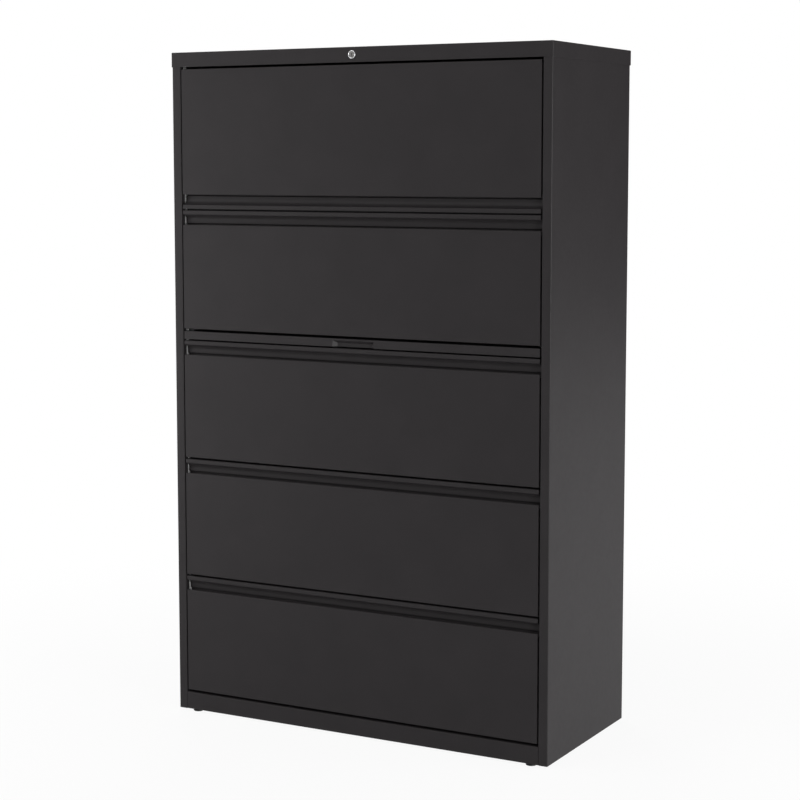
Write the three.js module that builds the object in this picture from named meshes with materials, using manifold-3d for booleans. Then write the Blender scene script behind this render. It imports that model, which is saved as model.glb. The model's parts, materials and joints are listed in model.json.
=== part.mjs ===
// Lateral filing cabinet: a folded-steel case with a flip-up door, four drawers on telescopic
// slides, a pull-out posting shelf, and a lock that works an interlock bar.
// Millimetres, +Z up. The front faces -Y and the origin is on the floor, under the middle.

import * as THREE from 'three';
import { mergeVertices } from 'three/addons/utils/BufferGeometryUtils.js';
import Module from 'manifold-3d';

const wasm = await Module();
wasm.setup();

// Overall size: the cap's outline, and floor to top.
const overallWidth = 1066.8;
const overallDepth = 473.1;
const overallHeight = 1717.7;

// Sheet, bends and clearances.
const panelSheet = 1.2;
const frontSheet = 1;
const traySheet = 1;
const slideSheet = 1.2;
const insideBend = 1;
const bendSteps = 3;
const roundSteps = 24;
const seat = 0.3;
const running = 0.4;
const through = 2;

// Heights of the front, from the floor up. The door takes what is left under the cap.
const footReveal = 6;
const baseRailHeight = 45.1;
const gapAboveBase = 6.7;
const drawerHeight = 304.8;
const gapBetweenDrawers = 4.8;
const gapUnderShelf = 3.8;
const shelfHeight = 20.4;
const gapAboveShelf = 6.3;
const gapUnderDoor = 3.4;
const gapUnderCap = 5.4;
const capHeight = 37;

// Case.
const stileWidth = 24;
const sideGap = 4;
const returnDepth = 45;
const baseReturn = 40;
const capEdgeRadius = 2.5;
const backPanelMargin = 4;

// Fronts: one sheet folded round a finger channel. Depths run back from the face.
const frontDepth = 24;
const lipHeight = 11.3;
const lipRadius = 2.5;
const channelMouth = 25.4;
const coveDepth = 16;
const coveRadius = 14;
const pocketDepth = 20.4;
const pocketRise = 2.6;
const pocketDrop = 8;
const hemWidth = 5;
const frontReturn = 30;

// Drawer trays and their slides.
const trayLift = 12;
const trayHeight = 243;
const trayRailWidth = 9;
const trayRailDrop = 5;
const hangRailWidth = 8;
const hangRailDrop = 14;
const hangRailSpan = 310;
const slideSetback = 4;
const slideRearRoom = 30;
const slideHalfHeight = 22.5;
const slideThickness = 13.2;
const slideReach = 12;
const slideWebGap = 0.8;
const slideLift = 60;

// Posting shelf.
const shelfRearRoom = 10;
const runnerReach = 14;
const pullHalfWidth = 59;
const pullDepth = 9;
const pullHeight = 16.5;
const pullEndSlope = 1.1;
const pullTopSlope = 0.75;

// Shelf under the top compartment.
const binderShelfLift = 6;
const binderShelfSkirt = 18;

// Door, its pivot pins, carriages and tracks.
const pivotDepth = 30;
const stowGap = 2.7;
const earRadius = 8;
const pinRadius = 3.5;
const pinReach = 1.5;
const carriageLength = 44;
const carriageHeight = 14;
const carriageInset = 2.4;
const trackReach = 16;
const trackStart = 3;

// Lock in the cap. Its plug turns a cam whose pin pushes the cross bar.
const lockProud = 2.5;
const lockFlangeRadius = 10.3;
const lockBodyRadius = 9.5;
const lockBodyLength = 18;
const plugRadius = 6.2;
const plugRecess = 0.3;
const keywayWidth = 1.8;
const keywayHeight = 8;
const keywayDepth = 6;
const camThickness = 2.5;
const camThrow = 10;
const camPinRadius = 2.5;
const camSlotSlack = 0.6;

// Cross bar under the cap, and the interlock bar that it lifts.
const crossBarSheet = 2;
const crossBarHeight = 20;
const crossBarClear = 4.3;
const crossBarOverrun = 16;
const crossBarDepth = 26.5;
const guideWall = 1.5;
const guideDepth = 6.5;
const guideOffsets = [60, 440];
const interlockDepth = 15;
const interlockWidth = 10;
const interlockArmReach = 25;
const interlockArmHeight = 13;
const followerRadius = 2.5;
const followerInset = 21.6;
const followerLift = 7;
const liftPerPush = 0.5;
const lugWidth = 3;
const lugHeight = 5;
const lugSetback = 2;
const lugAboveDrawerBottom = 200;
const lugAboveDoorChannel = 12;
const notchClear = 1;
const notchFall = 3;

// Levelling glides and the counterweight.
const glideInset = 25;
const glideSetback = 16;
const glideFootRadius = 13.5;
const glideStudRadius = 4;
const glideStudLength = 24;
const glideNutRadius = 8;
const glideNutHeight = 6;
const glideChamfer = 1.5;
const counterweightLength = 780;
const counterweightDepth = 36;
const counterweightHeight = 34;

// Derived places. Y counts back from the plane of the fronts.
const capFront = -(panelSheet + seat);
const capBack = capFront + overallDepth;
const capHalf = overallWidth / 2;
const caseHalf = capHalf - panelSheet - seat;
const openingHalf = caseHalf - stileWidth;
const frontHalf = openingHalf - sideGap;
const capInnerRadius = Math.max(capEdgeRadius - panelSheet, 0);
const panelTop = overallHeight - panelSheet - capInnerRadius - seat;
const backOuter = capBack - panelSheet - seat;
const rearFlange = backOuter - panelSheet - seat;

const baseTop = footReveal + baseRailHeight;
const drawerStep = drawerHeight + gapBetweenDrawers;
const drawer4Bottom = baseTop + gapAboveBase;
const drawer3Bottom = drawer4Bottom + drawerStep;
const drawer2Bottom = drawer3Bottom + drawerStep;
const shelfBottom = drawer2Bottom + drawerHeight + gapUnderShelf;
const drawer1Bottom = shelfBottom + shelfHeight + gapAboveShelf;
const drawerBottoms = [drawer1Bottom, drawer2Bottom, drawer3Bottom, drawer4Bottom];
const doorBottom = drawer1Bottom + drawerHeight + gapUnderDoor;
const capBottom = overallHeight - capHeight;
const doorHeight = capBottom - gapUnderCap - doorBottom;

const slideStart = frontDepth + slideSetback;
const slideEnd = rearFlange - slideRearRoom;
const trayHalf = openingHalf - slideThickness - seat;
const trayFront = frontDepth + seat;
const trayTop = trayLift + trayHeight;
const channelBase = lipHeight + channelMouth + pocketDrop;

const pivotHeight = capBottom - stowGap - pivotDepth;
const carriageOuter = caseHalf - panelSheet - seat - slideSheet - running;
const carriageInner = openingHalf + panelSheet + carriageInset;

const lockHeight = capBottom + capHeight / 2;
const camPinOffset = camThrow * Math.SQRT1_2;
const camFront = capFront + lockBodyLength + seat;
const crossBarBottom = capBottom + crossBarClear;
const crossBarTravel = 2 * camPinOffset;
const interlockInner = openingHalf - seat - slideSheet;
const interlockBack = interlockDepth + interlockWidth;
const followerHeight = crossBarBottom + followerLift;

const cabinet = new THREE.Group();
cabinet.position.y = -(capFront - lockProud + capBack) / 2;

// Finishes. Every mesh gets a material of its own.
const charcoalPaint = () => new THREE.MeshStandardMaterial({ color: 0x343233, roughness: 0.5, metalness: 0 });
const zincPlate = () => new THREE.MeshStandardMaterial({ color: 0xb4b7ba, roughness: 0.35, metalness: 1 });
const bareIron = () => new THREE.MeshStandardMaterial({ color: 0x4a4846, roughness: 0.7, metalness: 1 });
const chrome = () => new THREE.MeshStandardMaterial({ color: 0xd6d7d9, roughness: 0.15, metalness: 1 });
const blackPlastic = () => new THREE.MeshStandardMaterial({ color: 0x161616, roughness: 0.6, metalness: 0 });

// Solids from three.js geometry, joined and cut as manifolds. Points are snapped to a fine binary
// grid first, so that faces that are meant to be flush are exactly flush.
const gridPerMillimetre = 1024;

function toSolid(geometry) {
  const bare = geometry.clone();
  bare.deleteAttribute('normal');
  bare.deleteAttribute('uv');
  const welded = mergeVertices(bare);
  const points = welded.attributes.position.array;
  const mesh = new wasm.Mesh({
    numProp: 3,
    vertProperties: points.map((value) => Math.round(value * gridPerMillimetre) / gridPerMillimetre),
    triVerts: new Uint32Array(welded.index.array),
  });
  return new wasm.Manifold(mesh);
}

function toGeometry(solid) {
  const mesh = solid.getMesh();
  const geometry = new THREE.BufferGeometry();
  geometry.setAttribute('position', new THREE.BufferAttribute(mesh.vertProperties, 3));
  geometry.setIndex(new THREE.BufferAttribute(mesh.triVerts, 1));
  geometry.computeVertexNormals();
  return geometry;
}

function join(...geometries) {
  const solids = geometries.map(toSolid);
  return toGeometry(solids.reduce((whole, piece) => whole.add(piece)));
}

function cut(geometry, ...tools) {
  const solids = tools.map(toSolid);
  return toGeometry(solids.reduce((whole, tool) => whole.subtract(tool), toSolid(geometry)));
}

function overlap(...geometries) {
  const solids = geometries.map(toSolid);
  return toGeometry(solids.reduce((whole, piece) => whole.intersect(piece)));
}

// Primitive shapes placed by their extents.
function slab(x0, x1, y0, y1, z0, z1) {
  const box = new THREE.BoxGeometry(x1 - x0, y1 - y0, z1 - z0);
  return box.translate((x0 + x1) / 2, (y0 + y1) / 2, (z0 + z1) / 2);
}

function rodAlongX(radius, x0, x1, y, z) {
  const rod = new THREE.CylinderGeometry(radius, radius, x1 - x0, roundSteps);
  return rod.rotateZ(Math.PI / 2).translate((x0 + x1) / 2, y, z);
}

function rodAlongY(radius, x, y0, y1, z) {
  const rod = new THREE.CylinderGeometry(radius, radius, y1 - y0, roundSteps);
  return rod.translate(x, (y0 + y1) / 2, z);
}

function rodAlongZ(radius, x, y, z0, z1) {
  const rod = new THREE.CylinderGeometry(radius, radius, z1 - z0, roundSteps);
  return rod.rotateX(Math.PI / 2).translate(x, y, (z0 + z1) / 2);
}

// Extrusions of a flat outline along each axis.
function extrude(shape, depth) {
  return new THREE.ExtrudeGeometry(shape, { depth, bevelEnabled: false, curveSegments: bendSteps });
}

function extrudeAlongX(shape, x0, x1) {
  const axes = new THREE.Matrix4().makeBasis(
    new THREE.Vector3(0, 1, 0), new THREE.Vector3(0, 0, 1), new THREE.Vector3(1, 0, 0));
  return extrude(shape, x1 - x0).applyMatrix4(axes).translate(x0, 0, 0);
}

function extrudeAlongY(shape, y0, y1) {
  const axes = new THREE.Matrix4().makeBasis(
    new THREE.Vector3(1, 0, 0), new THREE.Vector3(0, 0, 1), new THREE.Vector3(0, -1, 0));
  return extrude(shape, y1 - y0).applyMatrix4(axes).translate(0, y1, 0);
}

function extrudeAlongZ(shape, z0, z1) {
  return extrude(shape, z1 - z0).translate(0, 0, z0);
}

// Rectangle with its own radius at each corner, counted round from (u0, v0) towards (u1, v0).
function roundedRectangle(u0, v0, u1, v1, radii) {
  const shape = new THREE.Shape();
  const corners = [[u0, v0], [u1, v0], [u1, v1], [u0, v1]];
  const headings = [[1, 0], [0, 1], [-1, 0], [0, -1]];
  corners.forEach(([u, v], i) => {
    const ahead = headings[i];
    const behind = headings[(i + 3) % 4];
    const start = [u - behind[0] * radii[i], v - behind[1] * radii[i]];
    const end = [u + ahead[0] * radii[i], v + ahead[1] * radii[i]];
    if (i === 0) shape.moveTo(...start);
    else shape.lineTo(...start);
    if (radii[i] > 0) shape.quadraticCurveTo(u, v, ...end);
  });
  shape.closePath();
  return shape;
}

// Line in a folded sheet that follows the corner points, at a depth below the face that they give.
// The sheet lies to the left of that face, or to the right if side is -1, and a corner may give the
// face's own radius there.
function foldedLine(corners, thickness, side, depth) {
  const line = [];
  const put = (point, heading) => {
    const left = new THREE.Vector2(-heading.y, heading.x);
    line.push(point.clone().addScaledVector(left, side * depth));
  };
  const points = corners.map(([u, v]) => new THREE.Vector2(u, v));
  const headings = points.slice(1).map((point, i) => point.clone().sub(points[i]).normalize());
  put(points[0], headings[0]);
  for (let i = 1; i < points.length - 1; i += 1) {
    const before = headings[i - 1];
    const after = headings[i];
    const turn = Math.atan2(before.cross(after), before.dot(after));
    const outside = Math.sign(turn) === side;
    const radius = corners[i][2] ?? (outside ? insideBend + thickness : insideBend);
    const start = points[i].clone().addScaledVector(before, -radius * Math.tan(Math.abs(turn) / 2));
    const centre = start.clone().add(
      new THREE.Vector2(-before.y, before.x).multiplyScalar(Math.sign(turn) * radius));
    const steps = Math.ceil(bendSteps * Math.max(1, Math.sqrt(radius / (insideBend + thickness))));
    for (let step = 0; step <= steps; step += 1) {
      const angle = turn * step / steps;
      const point = start.clone().rotateAround(centre, angle);
      put(point, before.clone().rotateAround(new THREE.Vector2(), angle));
    }
  }
  put(points.at(-1), headings.at(-1));
  return line;
}

function foldedSheet(corners, thickness, side) {
  const near = foldedLine(corners, thickness, side, 0);
  const far = foldedLine(corners, thickness, side, thickness);
  return new THREE.Shape([...near, ...far.reverse()]);
}

function addPiece(group, name, geometry, material) {
  const mesh = new THREE.Mesh(geometry, material);
  mesh.name = name;
  group.add(mesh);
  return mesh;
}

const sides = [['left', -1], ['right', 1]];

// Side panels: outer wall, front stile and rear flange in one fold, each with a return.
function sidePanel(side) {
  const outline = foldedSheet([
    [side * openingHalf, returnDepth],
    [side * openingHalf, 0],
    [side * caseHalf, 0],
    [side * caseHalf, rearFlange],
    [side * openingHalf, rearFlange],
    [side * openingHalf, rearFlange - returnDepth],
  ], panelSheet, side);
  const wall = extrudeAlongZ(outline, footReveal, panelTop);
  const inner = side * (openingHalf - through);
  const outer = side * (openingHalf + panelSheet + through);
  const slotHalf = pinRadius + carriageInset;
  const pinSlot = slab(
    Math.min(inner, outer), Math.max(inner, outer),
    pivotDepth - slotHalf, returnDepth + through,
    pivotHeight - slotHalf, pivotHeight + slotHalf);
  return cut(wall, pinSlot);
}

// Cap: a pan turned upside down, with rounded upper edges, the lock's hole and two bar guides.
function capBlock(inset, bottom, radius) {
  const x = capHalf - inset;
  const y0 = capFront + inset;
  const y1 = capBack - inset;
  const top = overallHeight - inset;
  const across = roundedRectangle(-x, bottom, x, top, [0, 0, radius, radius]);
  const along = roundedRectangle(y0, bottom, y1, top, [0, 0, radius, radius]);
  const plan = roundedRectangle(-x, y0, x, y1, [radius, radius, radius, radius]);
  return overlap(
    extrudeAlongY(across, y0, y1), extrudeAlongX(along, -x, x), extrudeAlongZ(plan, bottom, top));
}

function barGuide(offset) {
  const front = crossBarDepth - guideDepth;
  const back = crossBarDepth + crossBarSheet + guideDepth;
  const plate = slab(
    -offset, -offset + guideWall, front, back,
    crossBarBottom - running - guideWall, overallHeight - panelSheet / 2);
  const window = slab(
    -offset - through, -offset + guideWall + through,
    crossBarDepth - running, crossBarDepth + crossBarSheet + running,
    crossBarBottom - running, crossBarBottom + crossBarHeight + running);
  return cut(plate, window);
}

function topCap() {
  const shell = cut(
    capBlock(0, capBottom, capEdgeRadius),
    capBlock(panelSheet, capBottom - through, capInnerRadius),
    rodAlongY(lockBodyRadius + seat, 0, capFront - through, through, lockHeight));
  return join(shell, ...guideOffsets.map(barGuide));
}

// Bottom pan: its front flange is the base rail, its returns carry the glides, and plates close its
// ends.
const glidePlaces = [
  ['front_left', -1, glideSetback], ['front_right', 1, glideSetback],
  ['rear_left', -1, rearFlange - glideSetback], ['rear_right', 1, rearFlange - glideSetback],
];

function basePan() {
  const outline = foldedSheet([
    [baseReturn, footReveal],
    [0, footReveal],
    [0, baseTop],
    [rearFlange, baseTop],
    [rearFlange, footReveal],
    [rearFlange - baseReturn, footReveal],
  ], panelSheet, -1);
  const half = openingHalf - seat;
  const middle = panelSheet / 2;
  const bend = insideBend + middle;
  const plate = roundedRectangle(
    middle, footReveal + middle, rearFlange - middle, baseTop - middle, [bend, bend, bend, bend]);
  const pan = join(
    extrudeAlongX(outline, -half, half),
    extrudeAlongX(plate, -half, -half + panelSheet),
    extrudeAlongX(plate, half - panelSheet, half));
  const holes = glidePlaces.map(([, side, y]) => rodAlongZ(
    glideStudRadius + seat, side * (openingHalf - glideInset), y,
    footReveal - through, footReveal + panelSheet + through));
  return cut(pan, ...holes);
}

function backPanel() {
  const half = caseHalf - backPanelMargin;
  return slab(-half, half, backOuter - panelSheet, backOuter, footReveal, panelTop);
}

// Glide: a round foot below the return, with its stud and jam nut above.
function levellingGlide() {
  const footTop = footReveal - seat;
  const nutBottom = footReveal + panelSheet + seat;
  const nutTop = nutBottom + glideNutHeight;
  const studTop = nutTop + glideStudLength;
  const profile = [
    [0, 0], [glideFootRadius - glideChamfer, 0], [glideFootRadius, glideChamfer],
    [glideFootRadius, footTop], [glideStudRadius, footTop], [glideStudRadius, nutBottom],
    [glideNutRadius, nutBottom], [glideNutRadius, nutTop], [glideStudRadius, nutTop],
    [glideStudRadius, studTop], [0, studTop],
  ].map(([r, z]) => new THREE.Vector2(r, z));
  return new THREE.LatheGeometry(profile, roundSteps).rotateX(Math.PI / 2);
}

function counterweight() {
  const back = rearFlange - panelSheet - insideBend - seat;
  const bottom = footReveal + panelSheet + seat;
  return slab(
    -counterweightLength / 2, counterweightLength / 2,
    back - counterweightDepth, back, bottom, bottom + counterweightHeight);
}

for (const [word, side] of sides) {
  addPiece(cabinet, `${word}_side_panel`, sidePanel(side), charcoalPaint());
}
addPiece(cabinet, 'top_cap', topCap(), charcoalPaint());
addPiece(cabinet, 'base_pan', basePan(), charcoalPaint());
addPiece(cabinet, 'back_panel', backPanel(), charcoalPaint());
addPiece(cabinet, 'counterweight', counterweight(), bareIron());
for (const [word, side, y] of glidePlaces) {
  const glide = addPiece(cabinet, `glide_${word}`, levellingGlide(), blackPlastic());
  glide.position.set(side * (openingHalf - glideInset), y, 0);
}

// Shelf that floors the top compartment.
function binderShelf() {
  const top = doorBottom + binderShelfLift;
  const back = rearFlange - panelSheet - seat;
  const outline = foldedSheet([
    [slideStart, top - binderShelfSkirt],
    [slideStart, top],
    [back, top],
    [back, top - binderShelfSkirt],
  ], panelSheet, -1);
  const half = openingHalf - seat;
  return extrudeAlongX(outline, -half, half);
}

addPiece(cabinet, 'binder_shelf', binderShelf(), charcoalPaint());

// Front with a finger channel at its upper edge, as a drawer has it. The fold starts at the return
// that the tray is fixed to, climbs the face, turns down behind its hem into a pocket for the
// fingertips, and comes forward over the cove to the lip.
function frontOutline(height) {
  const faceTop = height - lipHeight - channelMouth;
  const floor = height - channelBase;
  return [
    [frontDepth, frontReturn],
    [frontDepth, 0],
    [0, 0],
    [0, faceTop],
    [hemWidth, faceTop],
    [hemWidth, floor],
    [pocketDepth, floor],
    [pocketDepth, faceTop + pocketRise],
    [coveDepth, faceTop + pocketRise],
    [coveDepth, height - lipHeight, coveRadius],
    [0, height - lipHeight, lipRadius],
    [0, height],
    [frontDepth, height],
  ];
}

// End plates close the pan below the channel and the lip above it, and leave the channel open.
function endPlates(height) {
  const middle = frontSheet / 2;
  const below = foldedLine(frontOutline(height).slice(0, 6), frontSheet, -1, middle);
  below.push(new THREE.Vector2(frontDepth - middle, height - channelBase - middle));
  const above = foldedLine([
    [frontDepth, height - lipHeight],
    [0, height - lipHeight, lipRadius],
    [0, height],
    [frontDepth, height],
  ], frontSheet, -1, middle);
  return [below, above].flatMap((points) => [
    extrudeAlongX(new THREE.Shape(points), -frontHalf, -frontHalf + frontSheet),
    extrudeAlongX(new THREE.Shape(points), frontHalf - frontSheet, frontHalf),
  ]);
}

function foldedFront(height) {
  const outline = foldedSheet(frontOutline(height), frontSheet, -1);
  return join(extrudeAlongX(outline, -frontHalf, frontHalf), ...endPlates(height));
}

// Hooked notch in a front's left end. A lug of the interlock bar leaves it to the rear while the
// bar is down, and is caught by the hook when the bar is up.
const lugFront = interlockDepth + lugSetback;

function lockNotch(lugBottom) {
  const front = lugFront - notchClear;
  const hook = lugFront + lugWidth + notchClear;
  const exitTop = lugBottom + lugHeight + notchClear;
  const legTop = exitTop + crossBarTravel * liftPerPush;
  const outline = new THREE.Shape([
    new THREE.Vector2(front, lugBottom - notchFall),
    new THREE.Vector2(frontDepth + through, lugBottom - notchFall),
    new THREE.Vector2(frontDepth + through, exitTop),
    new THREE.Vector2(hook, exitTop),
    new THREE.Vector2(hook, legTop),
    new THREE.Vector2(front, legTop),
  ]);
  return extrudeAlongX(outline, -frontHalf - through, -frontHalf + frontSheet + through);
}

// Drawer tray: an open box whose front and back walls end in folder rails.
function drawerTray() {
  const shell = cut(
    slab(-trayHalf, trayHalf, trayFront, slideEnd, trayLift, trayTop),
    slab(
      -trayHalf + traySheet, trayHalf - traySheet, trayFront + traySheet, slideEnd - traySheet,
      trayLift + traySheet, trayTop + through));
  const half = trayHalf - traySheet / 2;
  const rail = (wall, tip, side) => extrudeAlongX(foldedSheet([
    [wall, trayTop - trayRailDrop],
    [wall, trayTop],
    [tip, trayTop],
    [tip, trayTop - trayRailDrop],
  ], traySheet, side), -half, half);
  return join(
    shell,
    rail(trayFront, trayFront + trayRailWidth, -1),
    rail(slideEnd, slideEnd - trayRailWidth, 1));
}

// Movable hanging rail: a channel across the tray, with tabs that rest on its side walls.
function hangRail() {
  const top = trayTop + seat + traySheet;
  const front = trayFront + hangRailSpan;
  const outline = foldedSheet([
    [front, top - hangRailDrop],
    [front, top],
    [front + hangRailWidth, top],
    [front + hangRailWidth, top - hangRailDrop],
  ], traySheet, -1);
  const inner = trayHalf - traySheet - seat;
  const tabInset = insideBend + traySheet;
  return join(
    extrudeAlongX(outline, -inner, inner),
    slab(-trayHalf, trayHalf, front + tabInset, front + hangRailWidth - tabInset, trayTop + seat, top));
}

// Slide members: nested channels, placed by how far their webs and lips stand in from the opening.
function slideChannel(side, webInset, lipInset, halfHeight, from, to) {
  const web = side * (openingHalf - webInset);
  const lip = side * (openingHalf - lipInset);
  const facing = lipInset > webInset ? -side : side;
  const outline = foldedSheet([
    [lip, halfHeight], [web, halfHeight], [web, -halfHeight], [lip, -halfHeight],
  ], slideSheet, facing);
  return extrudeAlongY(outline, from, to);
}

const middleWeb = seat + slideSheet + slideWebGap;
const nestStep = slideSheet + running;

function outerMember(side) {
  return slideChannel(side, seat, seat + slideReach, slideHalfHeight, slideStart, slideEnd);
}

function middleMember(side) {
  const lip = slideThickness - slideSheet - running;
  return slideChannel(side, middleWeb, lip, slideHalfHeight - nestStep, slideStart, slideEnd);
}

function innerMember(side) {
  const lip = middleWeb + slideSheet + slideWebGap;
  return slideChannel(
    side, slideThickness, lip, slideHalfHeight - 2 * nestStep, slideStart, slideEnd);
}

drawerBottoms.forEach((bottom, i) => {
  const name = `drawer_${i + 1}`;
  const drawer = new THREE.Group();
  drawer.position.z = bottom;
  cabinet.add(drawer);
  const front = cut(foldedFront(drawerHeight), lockNotch(lugAboveDrawerBottom));
  addPiece(drawer, `${name}_front`, front, charcoalPaint());
  addPiece(drawer, `${name}_tray`, drawerTray(), charcoalPaint());
  addPiece(drawer, `${name}_hang_rail`, hangRail(), zincPlate());
  for (const [word, side] of sides) {
    const members = [
      ['outer', outerMember(side)], ['middle', middleMember(side)], ['inner', innerMember(side)],
    ];
    for (const [member, geometry] of members) {
      const piece = addPiece(drawer, `${name}_slide_${member}_${word}`, geometry, zincPlate());
      piece.position.z = slideLift;
    }
  }
});

// Finger pull: a dish with sloping ends and a sloping top, open below, grown by the skin round it.
function pullDish(skin) {
  const back = pullDepth + skin;
  const halfAt = (y) => pullHalfWidth + skin * Math.hypot(1, pullEndSlope) - pullEndSlope * y;
  const topAt = (y) => pullHeight + skin * Math.hypot(1, pullTopSlope) - pullTopSlope * y;
  const plan = new THREE.Shape([
    new THREE.Vector2(-halfAt(-through), -through),
    new THREE.Vector2(halfAt(-through), -through),
    new THREE.Vector2(halfAt(back), back),
    new THREE.Vector2(-halfAt(back), back),
  ]);
  const profile = new THREE.Shape([
    new THREE.Vector2(-through, -through),
    new THREE.Vector2(back, -through),
    new THREE.Vector2(back, topAt(back)),
    new THREE.Vector2(-through, topAt(-through)),
  ]);
  return overlap(
    extrudeAlongZ(plan, -through, topAt(-through)),
    extrudeAlongX(profile, -halfAt(-through), halfAt(-through)));
}

// Posting shelf: a shallow pan, open below, with the pull pressed into its front.
function postingShelf() {
  const back = slideEnd - shelfRearRoom;
  const whole = slab(-frontHalf, frontHalf, 0, back, 0, shelfHeight);
  const hollow = slab(
    -frontHalf + panelSheet, frontHalf - panelSheet, panelSheet, back - panelSheet,
    -through, shelfHeight - panelSheet);
  const dish = overlap(pullDish(panelSheet), whole);
  return cut(join(cut(whole, hollow), dish), pullDish(0));
}

const shelf = new THREE.Group();
shelf.position.z = shelfBottom;
cabinet.add(shelf);
addPiece(shelf, 'posting_shelf', postingShelf(), charcoalPaint());
for (const [word, side] of sides) {
  const halfHeight = shelfHeight / 2 + running + slideSheet;
  const runner = slideChannel(side, seat, runnerReach, halfHeight, slideStart, slideEnd);
  addPiece(shelf, `shelf_runner_${word}`, runner, zincPlate()).position.z = shelfHeight / 2;
}

// Door: a drawer front turned over, with ears behind its ends for the pivot pins.
function doorPanel() {
  const pivot = pivotHeight - doorBottom;
  const front = foldedFront(doorHeight).rotateY(Math.PI).translate(0, 0, doorHeight);
  const ears = sides.map(([, side]) => {
    const x0 = side < 0 ? -frontHalf : frontHalf - frontSheet;
    const x1 = x0 + frontSheet;
    return join(
      rodAlongX(earRadius, x0, x1, pivotDepth, pivot),
      slab(x0, x1, frontDepth - through, pivotDepth, pivot - earRadius, pivot + earRadius));
  });
  const bore = rodAlongX(
    pinRadius + seat, -frontHalf - through, frontHalf + through, pivotDepth, pivot);
  return cut(join(front, ...ears), bore, lockNotch(channelBase + lugAboveDoorChannel));
}

// Liner that closes the back of the door, inside its return.
function doorLiner() {
  const half = frontHalf - frontSheet - seat;
  const back = frontDepth - frontSheet - seat;
  return slab(
    -half, half, back - frontSheet, back,
    frontSheet + seat, doorHeight - frontSheet - insideBend - seat);
}

// Carriage: a block in the track, with the pin that the door hangs and turns on.
function doorCarriage(side) {
  const block = slab(
    Math.min(side * carriageInner, side * carriageOuter),
    Math.max(side * carriageInner, side * carriageOuter),
    -carriageLength / 2, carriageLength / 2, -carriageHeight / 2, carriageHeight / 2);
  const tip = side * (frontHalf - frontSheet - pinReach);
  const root = side * (carriageInner + through);
  return join(block, rodAlongX(pinRadius, Math.min(tip, root), Math.max(tip, root), 0, 0));
}

function doorTrack(side) {
  const web = side * (caseHalf - panelSheet - seat);
  const lip = web - side * trackReach;
  const halfHeight = carriageHeight / 2 + running + slideSheet;
  const outline = foldedSheet([
    [lip, halfHeight], [web, halfHeight], [web, -halfHeight], [lip, -halfHeight],
  ], slideSheet, -side);
  return extrudeAlongY(outline, trackStart, rearFlange - panelSheet - seat);
}

const door = new THREE.Group();
door.position.z = doorBottom;
cabinet.add(door);
addPiece(door, 'door_panel', doorPanel(), charcoalPaint());
addPiece(door, 'door_liner', doorLiner(), charcoalPaint());
for (const [word, side] of sides) {
  const carriage = addPiece(cabinet, `door_carriage_${word}`, doorCarriage(side), blackPlastic());
  carriage.position.set(0, pivotDepth, pivotHeight);
  const track = addPiece(cabinet, `door_track_${word}`, doorTrack(side), zincPlate());
  track.position.z = pivotHeight;
}

// Lock: a flanged barrel in the cap, and the plug that turns in it with its cam and cam pin.
function lockBarrel() {
  const flange = rodAlongY(lockFlangeRadius, 0, capFront - lockProud, capFront - seat, lockHeight);
  const body = rodAlongY(
    lockBodyRadius, 0, capFront - seat - through, capFront + lockBodyLength, lockHeight);
  const bore = rodAlongY(
    plugRadius + seat, 0, capFront - lockProud - through,
    capFront + lockBodyLength + through, lockHeight);
  return cut(join(flange, body), bore);
}

function lockPlug() {
  const face = capFront - lockProud + plugRecess;
  const camBack = camFront + camThickness;
  const core = rodAlongY(plugRadius, 0, face, camBack, 0);
  const keyway = slab(
    -keywayWidth / 2, keywayWidth / 2, face - through, face + keywayDepth,
    -keywayHeight / 2, keywayHeight / 2);
  const arm = slab(
    -camPinRadius - camThickness, camPinRadius + camThickness, camFront, camBack,
    -camThrow - camPinRadius, 0);
  const pinEnd = crossBarDepth + crossBarSheet + through;
  const pin = rodAlongY(camPinRadius, 0, camBack - camThickness / 2, pinEnd, -camThrow);
  const camTurn = Math.PI / 4;
  return cut(join(core, join(arm, pin).rotateY(camTurn)), keyway);
}

// Cross bar: an upright slot takes the cam's pin, a sloping slot lifts the interlock bar.
const crossBarLeft = -(openingHalf - seat - slideSheet);
const followerX = -(openingHalf - followerInset);

function crossBar() {
  const back = crossBarDepth + crossBarSheet;
  const bar = slab(
    crossBarLeft, crossBarOverrun, crossBarDepth, back,
    crossBarBottom, crossBarBottom + crossBarHeight);
  const slotHalf = camPinRadius + camSlotSlack;
  const camSlot = slab(
    -camPinOffset - slotHalf, -camPinOffset + slotHalf, crossBarDepth - through, back + through,
    lockHeight - camThrow - slotHalf, lockHeight - camPinOffset + slotHalf);
  const slope = Math.atan(liftPerPush);
  const run = crossBarTravel / Math.cos(slope);
  const rampHalf = followerRadius + running;
  const ramp = roundedRectangle(
    -run - rampHalf, -rampHalf, rampHalf, rampHalf, [rampHalf, rampHalf, rampHalf, rampHalf]);
  const rampSlot = extrudeAlongY(ramp, crossBarDepth - through, back + through);
  return cut(bar, camSlot, rampSlot.rotateY(slope).translate(followerX, 0, followerHeight));
}

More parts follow.
